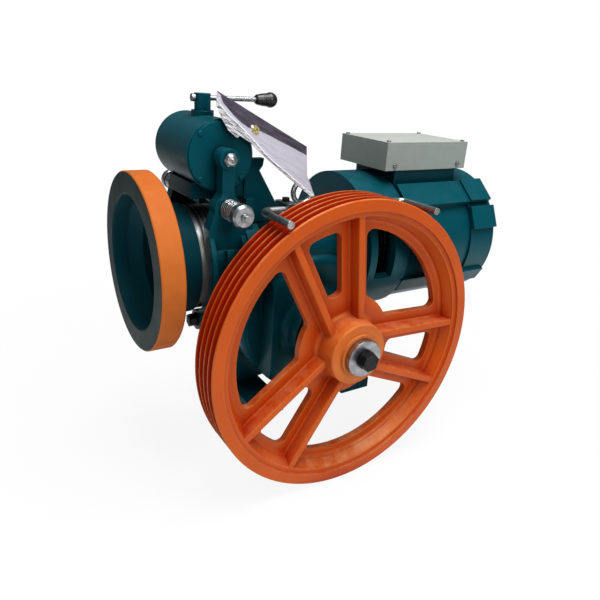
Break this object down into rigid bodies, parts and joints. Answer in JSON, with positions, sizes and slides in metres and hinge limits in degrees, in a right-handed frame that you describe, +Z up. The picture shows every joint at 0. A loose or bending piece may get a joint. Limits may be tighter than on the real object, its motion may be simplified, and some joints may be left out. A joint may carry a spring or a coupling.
{
  "type": "elevator traction machine",
  "caption": "Geared elevator hoisting machine: grooved rope sheave overhung on a worm gearbox, with flange motor, flywheel and spring-applied drum brake with hand release.",
  "frame": {"origin": "centre of the four foundation bolt holes, on the underside of the feet", "axes": "+X along the worm axis from the flywheel to the motor, -Y out of the sheave's ribbed face, +Z up"},
  "size_m": [0.728, 0.4199, 0.6861],
  "materials": {
    "body_paint": "semi-gloss teal enamel on castings",
    "sheave_paint": "semi-gloss orange enamel on cast iron, bare in the grooves",
    "wheel_paint": "orange enamel on the rim, teal in the bowl",
    "box_paint": "warm grey powder coat on sheet steel",
    "steel": "turned and ground",
    "bearing_steel": "ground",
    "zinc_plate": "bright zinc plate",
    "spring_steel": "zinc plated spring wire",
    "blackened_steel": "black oxide",
    "black_plastic": "moulded phenolic",
    "seal_rubber": "moulded lip seal",
    "friction_lining": "bonded friction lining",
    "bronze": "cast tin bronze, machined teeth",
    "cast_iron": "machined grey iron",
    "iron_core": "stacked laminations, plain",
    "copper_winding": "taped and varnished winding",
    "brass_fitting": "machined brass",
    "clear_film": "wrinkled clear film over paper"
  },
  "bodies": {
    "machine": {"gear_housing": "body_paint", "front_cover": "body_paint", "rear_cover": "body_paint", "worm_cover": "body_paint", "shaft_seal": "seal_rubber", "main_bearings": "bearing_steel", "worm_bearings": "bearing_steel", "breather": "zinc_plate", "oil_gauge": "brass_fitting", "drain_plug": "zinc_plate", "lifting_eye": "zinc_plate", "case_screws": "body_paint", "motor_bell": "body_paint", "motor_casing": "body_paint", "stator": "iron_core", "end_shield": "body_paint", "tie_bolts": "zinc_plate", "terminal_box": "box_paint", "terminal_lid": "box_paint", "lid_screws": "zinc_plate", "terminal_block": "black_plastic", "brake_bracket": "body_paint", "arm_pins": "blackened_steel", "magnet_case": "body_paint", "magnet_cover": "body_paint", "magnet_coil": "copper_winding", "spring_studs": "zinc_plate", "spring_caps": "zinc_plate", "spring_front": "spring_steel", "spring_rear": "spring_steel", "release_collar": "body_paint", "guard_left": "zinc_plate", "guard_right": "zinc_plate", "guard_clamps": "zinc_plate", "guard_nuts": "blackened_steel", "document_sleeve": "clear_film"},
    "worm_line": {"worm_shaft": "steel", "brake_drum": "steel", "flywheel": "wheel_paint", "flywheel_nut": "steel", "coupling": "blackened_steel", "rotor": "iron_core"},
    "sheave_line": {"main_shaft": "steel", "worm_wheel_hub": "cast_iron", "worm_wheel_ring": "bronze", "shaft_keys": "steel", "sheave": "sheave_paint", "end_washer": "zinc_plate", "end_bolt": "blackened_steel"},
    "brake_arm_front": {"arm_front": "body_paint", "lining_front": "friction_lining", "adjuster_front": "zinc_plate"},
    "brake_arm_rear": {"arm_rear": "body_paint", "lining_rear": "friction_lining", "adjuster_rear": "zinc_plate"},
    "plunger_front": {"plunger_front": "steel"},
    "plunger_rear": {"plunger_rear": "steel"},
    "release_lever": {"release_post": "body_paint", "release_rod": "zinc_plate", "release_knob": "black_plastic"}
  },
  "joints": [
    {"name": "worm_spin", "type": "hinge", "parent": "machine", "child": "worm_line", "pos_m": [0, 0, 0.305], "axis": [1, 0, 0], "continuous": true},
    {"name": "sheave_spin", "type": "hinge", "parent": "machine", "child": "sheave_line", "pos_m": [0, 0, 0.165], "axis": [0, 1, 0], "continuous": true},
    {"name": "release_turn", "type": "hinge", "parent": "machine", "child": "release_lever", "pos_m": [-0.2, 0, 0.567], "axis": [0, 0, 1], "range_deg": [0, 40]},
    {"name": "plunger_front_slide", "type": "slide", "parent": "machine", "child": "plunger_front", "axis": [0, -1, 0], "range_m": [0, 0.0021]},
    {"name": "plunger_rear_slide", "type": "slide", "parent": "machine", "child": "plunger_rear", "axis": [0, 1, 0], "range_m": [0, 0.0021]},
    {"name": "arm_front_swing", "type": "hinge", "parent": "machine", "child": "brake_arm_front", "pos_m": [-0.2, -0.045, 0.205], "axis": [1, 0, 0], "range_deg": [0, 0.42], "deforming": ["spring_front"]},
    {"name": "arm_rear_swing", "type": "hinge", "parent": "machine", "child": "brake_arm_rear", "pos_m": [-0.2, 0.045, 0.205], "axis": [-1, 0, 0], "range_deg": [0, 0.42], "deforming": ["spring_rear"]}
  ],
  "couplings": [
    {"joint": "sheave_spin", "follows": "worm_spin", "ratio": -0.022222},
    {"joint": "plunger_front_slide", "follows": "release_turn", "m_per_rad": 0.0028648},
    {"joint": "plunger_rear_slide", "follows": "release_turn", "m_per_rad": 0.0028648},
    {"joint": "arm_front_swing", "follows": "release_turn", "ratio": 0.0102},
    {"joint": "arm_rear_swing", "follows": "release_turn", "ratio": 0.0102}
  ]
}
